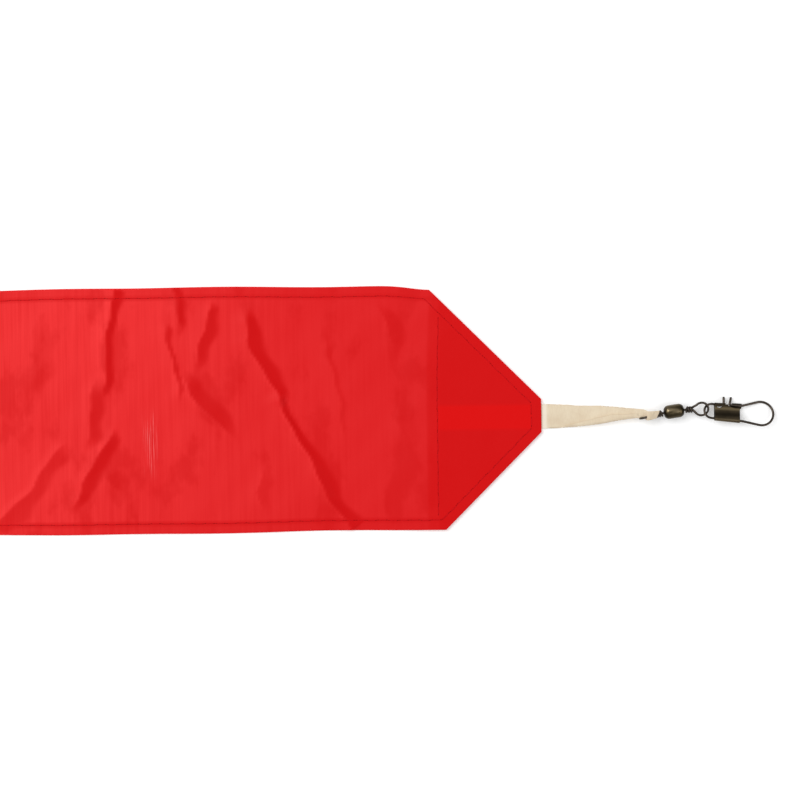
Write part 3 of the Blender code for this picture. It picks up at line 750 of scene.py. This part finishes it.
def makeTapeBand(material):
    bm = bmesh.new()
    flat = bm.loops.layers.uv.new("flat")
    for stations in (tapeStations, returnStations):
        length = stations[-1][0] - stations[0][0]
        columns = int(length * mm / tape["step"])
        addStrip(bm, flat, columns, tape["points"], length, lambda u, v: placeOnTape(stations, u, v))
    band = finishMesh("tape_band", bm, [material])
    s = np.array([vert.co.x - tip for vert in band.data.vertices]) / mm
    paint(band, "pale", 1 - smoothStep(s, tape["paleEnd"] - 0.4, tape["paleEnd"] + 0.4))
    thick = band.modifiers.new("weave", "SOLIDIFY")
    thick.thickness = tape["thickness"]
    thick.offset = 0
    return band


def makeTapeFinish():
    material, tree, shader = newMaterial("creamTape", Roughness=0.9)
    shader.inputs["Specular IOR Level"].default_value = 0.15
    shader.inputs["Sheen Weight"].default_value = 0.2
    shader.inputs["Sheen Roughness"].default_value = 0.5
    cloth = flatPlace(tree, tape["patternSpan"])
    rib = waveNode(tree, cloth, tape["ribPitch"], "X", 0.3)
    yarn = waveNode(tree, cloth, 0.5, "Y", 0.3)
    weave = mathNode(tree, "MULTIPLY", rib, mathNode(tree, "ADD", yarn, 0.6))
    slub = noiseNode(tree, cloth, 1.0, (1.6, 0.5, 1), 3, 0.6)
    cloud = noiseNode(tree, cloth, 5, (1, 1, 1), 2, 0.5)
    soft = weighted(tree, (slub, 0.4), (cloud, 0.6))
    base = mixColour(tree, ramp(tree, soft, 0.3, 0.7), tape["shaded"], tape["cream"])
    colour = mixColour(tree, mathNode(tree, "MULTIPLY", weave, 0.22), base, tape["yarn"])
    pale = mathNode(tree, "MULTIPLY", attributeNode(tree, "pale"), 0.7)
    colour = mixColour(tree, pale, colour, tape["pale"])
    tree.links.new(colour, shader.inputs["Base Color"])
    first = addBump(tree, shader, weave, 0.05 * mm, 0.5)
    addBump(tree, shader, slub, 0.06 * mm, 0.3, first)
    return material


def makeTape(material):
    band = makeTapeBand(material)
    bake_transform(band)
    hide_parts("tape_sewn_end", "tape_loop")
    return band


# bight: the gathered tape turns over the eye's upper arc, its end laid on the wrapped shank

bight = {
    "columns": 44,
    "rows": 40,
    "thickness": 0.3 * mm,
    "endSlant": 0.47,
}
# millimetres from the tip: side place, half width, top, depth, how far round the section runs in degrees
bightStations = [
    (36.5, -3.5, 1.35, 3.60, 0.8, 170),
    (38.4, -3.55, 1.76, 4.45, 1.3, 178),
    (39.8, -3.62, 1.74, 4.62, 1.6, 178),
    (41.6, -3.8, 1.66, 4.78, 1.8, 178),
    (42.3, -4.2, 1.70, 5.20, 2.3, 178),
    (42.8, -4.55, 1.72, 6.88, 3.4, 176),
    (43.8, -4.58, 1.70, 6.86, 3.6, 172),
    (44.7, -4.48, 1.66, 6.30, 3.3, 140),
    (45.7, -4.32, 1.60, 5.45, 2.8, 112),
    (47.2, -4.12, 1.45, 4.85, 2.4, 100),
]


def placeOnBight(along, across):
    s = bightStations[0][0] + (bightStations[-1][0] - bightStations[0][0]) * along
    _, side, half, top, depth, span = stationAt(bightStations, s)
    angle = radians(span) * (1 - 2 * across)
    turn = [abs(value) ** 0.72 * (1 if value > 0 else -1) for value in (sin(angle), cos(angle))]
    y = side + half * turn[0]
    z = top + depth / 2 * (turn[1] - 1)
    ripple = 0.05 * sin(2.3 * y + 1.7 * s) + 0.04 * sin(4.1 * s)
    slant = bight["endSlant"] * (y + 4.1) * along ** 3
    return Vector((tip + (s + slant) * mm, y * mm, (z + ripple) * mm))


def makeBight(material):
    bm = bmesh.new()
    flat = bm.loops.layers.uv.new("flat")
    length = bightStations[-1][0] - bightStations[0][0]
    addStrip(bm, flat, bight["columns"], bight["rows"], length, placeOnBight)
    piece = finishMesh("tape_bight", bm, [material])
    thick = piece.modifiers.new("weave", "SOLIDIFY")
    thick.thickness = bight["thickness"]
    thick.offset = 0
    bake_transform(piece)
    return piece


# metal parts: the imported shapes, merged, made round again and given their finish, with painted highlight
# and painted shade on the barrel and the clasp

metalwork = {
    "wireRadius": 0.45 * mm,
    "wire": (0.085, 0.068, 0.055),
    "shell": (0.10, 0.076, 0.042),
    "sheet": (0.095, 0.072, 0.045),
    "wearAndHighlightShell": (0.42, 0.33, 0.20),
    "wearAndHighlightSheet": (0.30, 0.23, 0.13),
    "claspBands": 12,
    "claspCrown": 0.18 * mm,
}


def makeMetalFinish(name, colour, roughness, wearAndHighlightColour, grain, highlightAndShade=False):
    material, tree, shader = newMaterial(name, Roughness=roughness, Metallic=1.0)
    place = addNode(tree, "ShaderNodeTexCoord").outputs["Object"]
    cloud = noiseNode(tree, place, 2.5 * mm, (1, 1, 1), 2, 0.5)
    speck = noiseNode(tree, place, 0.3 * mm, (1, 1, 1), 2, 0.5)
    dark = tuple(0.75 * channel for channel in colour)
    tone = mixColour(tree, ramp(tree, cloud, 0.3, 0.7), dark, colour)
    tone = mixColour(tree, mathNode(tree, "MULTIPLY", ramp(tree, speck, 0.62, 0.85), 0.25), tone, wearAndHighlightColour)
    # painted shade towards near black and painted highlight towards the wear colour, from the attribute
    if highlightAndShade:
        shade = attributeNode(tree, "highlightAndShade")
        tone = mixColour(tree, ramp(tree, shade, -1, 0), tuple(0.22 * channel for channel in colour), tone)
        tone = mixColour(tree, ramp(tree, shade, 0, 1), tone, wearAndHighlightColour)
    tree.links.new(tone, shader.inputs["Base Color"])
    rough = mathNode(tree, "ADD", mathNode(tree, "MULTIPLY", cloud, 0.12), roughness - 0.06)
    tree.links.new(rough, shader.inputs["Roughness"])
    addBump(tree, shader, speck, grain, 0.2)
    return material


def copyNode(node, target=None):
    bm = target or bmesh.new()
    bm.from_mesh(frame["nodes"][node].data)
    bmesh.ops.remove_doubles(bm, verts=bm.verts, dist=0.002 * mm)
    return bm


def squareUp(bm):
    bmesh.ops.join_triangles(
        bm, faces=bm.faces, angle_face_threshold=radians(25), angle_shape_threshold=radians(60))


def roundWire(bm, radius):
    # an eight-sided tube shrinks when it is subdivided, so it is thickened first,
    # and its end caps keep their edges
    bm.normal_update()
    caps = [face for face in bm.faces if len(face.verts) > 4 or face.calc_area() > 0.5 * radius ** 2 * pi]
    creases = bm.edges.layers.float.get("crease_edge") or bm.edges.layers.float.new("crease_edge")
    for cap in caps:
        for edge in cap.edges:
            edge[creases] = 0.8
    for vert in bm.verts:
        vert.co += vert.normal * radius * 0.15


def roundOff(piece):
    soften = piece.modifiers.new("round", "SUBSURF")
    soften.levels = 2
    soften.render_levels = 2


def makeWirePiece(name, node, body, material):
    bm = copyNode(node)
    squareUp(bm)
    roundWire(bm, metalwork["wireRadius"])
    piece = finishMesh(name, bm, [material])
    roundOff(piece)
    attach(piece, body)
    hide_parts(node)
    return piece


def makeSwivel():
    wire = makeMetalFinish("swivelWire", metalwork["wire"], 0.34, (0.2, 0.16, 0.12), 0.01 * mm)
    shell = makeMetalFinish("barrelShell", metalwork["shell"], 0.3, metalwork["wearAndHighlightShell"],
                            0.008 * mm, True)
    makeWirePiece("tape_side_eye", "swivel_tape_eye", "tape_eye", wire)
    makeWirePiece("snap_side_eye", "swivel_snap_eye", "snap_eye", wire)
    bm = copyNode("swivel_barrel")
    squareUp(bm)
    piece = finishMesh("barrel_body", bm, [shell])
    middle = (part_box("swivel_barrel")[0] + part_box("swivel_barrel")[1]) / 2
    axis = Vector(joints["tape_eye_spin"]["axis"])
    away = [(vert.co - middle) for vert in piece.data.vertices]
    endwise = np.array([offset.dot(axis) for offset in away]) / mm
    sidewise = np.array([offset.y for offset in away]) / mm
    # painted shade on the domed ends and on one side, painted highlight in a stripe along the barrel
    domeShade = smoothStep(np.abs(endwise + 0.3), 2.2, 3.6)
    highlightStripe = np.exp(-((sidewise - 0.5 + 0.1 * endwise) / 0.8) ** 2) * (1 - domeShade)
    paint(piece, "highlightAndShade", 0.75 * highlightStripe - 0.85 * domeShade - 0.5 * smoothStep(-sidewise, 0.9, 2.2))
    roundOff(piece)
    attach(piece, "barrel")
    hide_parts("swivel_barrel")


def cutWire(bm, place, normal):
    everything = bm.verts[:] + bm.edges[:] + bm.faces[:]
    cut = bmesh.ops.bisect_plane(
        bm, geom=everything, dist=1e-7, plane_co=place, plane_no=normal, clear_outer=True)
    rim = [item for item in cut["geom_cut"] if isinstance(item, bmesh.types.BMEdge)]
    bmesh.ops.holes_fill(bm, edges=rim, sides=0)


def makeSnapWires():
    material = makeMetalFinish("snapWire", metalwork["wire"], 0.33, (0.22, 0.19, 0.15), 0.01 * mm)
    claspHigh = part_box("snap_clasp")[1]
    alongSnap = (gatePin - Vector(joints["snap_swing"]["pos_m"])).normalized()
    cut = claspHigh - Vector((3.2 * mm, 0, 0))
    bm = copyNode("snap_wire")
    squareUp(bm)
    cutWire(bm, cut, alongSnap)
    roundWire(bm, metalwork["wireRadius"])
    link = finishMesh("snap_link_wire", bm, [material])
    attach(link, "snap")
    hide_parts("snap_wire")

    bm = copyNode("snap_wire")
    squareUp(bm)
    cutWire(bm, cut, -alongSnap)
    bm = copyNode("snap_gate", bm)
    # the two wires' ends at the gate's hinge are opened and joined
    ends = [face for face in bm.faces
            if (face.calc_center_median() - gatePin).length < 0.5 * mm
            and abs(face.normal.dot(gateAxis)) > 0.8]
    rims = list({edge for face in ends for edge in face.edges
                 if len([other for other in edge.link_faces if other in ends]) == 1})
    bmesh.ops.delete(bm, geom=ends, context="FACES_ONLY")
    bmesh.ops.bridge_loops(bm, edges=rims)
    squareUp(bm)
    roundWire(bm, metalwork["wireRadius"])
    loop = finishMesh("snap_loop_wire", bm, [material])
    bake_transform(loop)
    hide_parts("snap_gate")
    for piece in (link, loop):
        roundOff(piece)


def makeClasp():
    material = makeMetalFinish("claspSheet", metalwork["sheet"], 0.3, metalwork["wearAndHighlightSheet"],
                               0.008 * mm, True)
    bm = copyNode("snap_clasp")
    bmesh.ops.dissolve_limit(bm, angle_limit=radians(1), verts=bm.verts, edges=bm.edges)
    across = gateAxis.normalized()
    places = [vert.co.dot(across) for vert in bm.verts]
    low, high = min(places), max(places)
    middle = sum((vert.co for vert in bm.verts), Vector()) / len(bm.verts)
    for index in range(1, metalwork["claspBands"]):
        level = low + (high - low) * index / metalwork["claspBands"]
        everything = bm.verts[:] + bm.edges[:] + bm.faces[:]
        bmesh.ops.bisect_plane(bm, geom=everything, dist=1e-7, plane_co=across * level, plane_no=across)
    upward = Vector((0, 0, 1))
    upward = (upward - across * upward.dot(across)).normalized()
    for vert in bm.verts:
        share = 2 * (vert.co.dot(across) - low) / (high - low) - 1
        side = 1 if (vert.co - middle).dot(upward) > 0 else -1
        vert.co += upward * side * metalwork["claspCrown"] * (1 - share * share)
    clasp = finishMesh("clasp_shell", bm, [material])
    share = np.array([(vert.co.dot(across) - low) / (high - low) for vert in clasp.data.vertices])
    # painted highlight in two bands across the clasp, painted shade in the band between them and towards its
    # far edge
    highlightBands = np.exp(-((share - 0.66) / 0.09) ** 2) + 0.45 * np.exp(-((share - 0.1) / 0.07) ** 2)
    shadeBand = 0.75 * np.exp(-((share - 0.36) / 0.13) ** 2)
    paint(clasp, "highlightAndShade", highlightBands - shadeBand - 0.5 * smoothStep(share, 0.82, 0.95))
    clasp.data.set_sharp_from_angle(angle=radians(35))
    soften = clasp.modifiers.new("edges", "BEVEL")
    soften.width = 0.06 * mm
    soften.segments = 2
    soften.limit_method = "ANGLE"
    soften.angle_limit = radians(35)
    soften.harden_normals = False
    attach(clasp, "snap")
    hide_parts("snap_clasp")


# stage: pale floor, soft lights and the camera straight above

stage = {
    "floorSize": 9.0,
    "floorColour": (0.93, 0.93, 0.93, 1),
    "floorGlow": 0.22,
    "world": 0.36,
    "cameraX": tip - 57.5 * mm,
    "cameraY": 3.18 * mm,
    "viewWidth": 326.4 * mm,
    "lens": 100,
    "roll": 0.75,
}


def makeStage():
    bm = bmesh.new()
    bmesh.ops.create_grid(bm, x_segments=1, y_segments=1, size=stage["floorSize"] / 2)
    bmesh.ops.translate(bm, verts=bm.verts, vec=(0, 0, -0.02 * mm))
    material, tree, shader = newMaterial("paleFloor", Roughness=0.9)
    shader.inputs["Base Color"].default_value = stage["floorColour"]
    shader.inputs["Specular IOR Level"].default_value = 0.1
    shader.inputs["Emission Color"].default_value = (1, 1, 1, 1)
    shader.inputs["Emission Strength"].default_value = stage["floorGlow"]
    floor = finishMesh("floor", bm, [material], smooth=False)
    world = bpy.data.worlds.new("studio")
    world.use_nodes = True
    world.node_tree.nodes["Background"].inputs["Color"].default_value = (1, 1, 1, 1)
    world.node_tree.nodes["Background"].inputs["Strength"].default_value = stage["world"]
    bpy.context.scene.world = world
    lamps = {
        "keyPanel": ((-0.55, 0.35, 0.9), 0.9, 9.0),
        "fillPanel": ((0.75, -0.25, 0.8), 0.8, 3.6),
    }
    for name, (offset, size, power) in lamps.items():
        lamp = bpy.data.lights.new(name, "AREA")
        lamp.size = size
        lamp.energy = power
        lamp.shape = "SQUARE"
        holder = bpy.data.objects.new(name, lamp)
        holder.location = Vector((stage["cameraX"], 0, 0)) + Vector(offset)
        aim = Vector((stage["cameraX"], 0, 0)) - holder.location
        holder.rotation_euler = aim.to_track_quat("-Z", "Y").to_euler()
        bpy.context.scene.collection.objects.link(holder)
    lens = bpy.data.cameras.new("camera")
    lens.lens = stage["lens"]
    lens.sensor_width = 36
    lens.clip_start = 0.01
    lens.clip_end = 50
    camera = bpy.data.objects.new("camera", lens)
    camera.location = (stage["cameraX"], stage["cameraY"], stage["viewWidth"] * stage["lens"] / 36)
    camera.rotation_euler = (0, 0, -radians(stage["roll"]))
    bpy.context.scene.collection.objects.link(camera)
    bpy.context.scene.camera = camera
    bpy.context.scene.view_settings.view_transform = "Standard"


print("stage and camera")
makeStage()
print("cloth")
taffeta = makeClothFinish()
streamerCloth = makeStreamer(taffeta)
headLining = makeLining(taffeta)
print("stitches")
seams = makeSeams()
print("tape")
creamTape = makeTapeFinish()
tapeBand = makeTape(creamTape)
tapeBight = makeBight(creamTape)
print("metal parts")
makeSwivel()
makeSnapWires()
makeClasp()
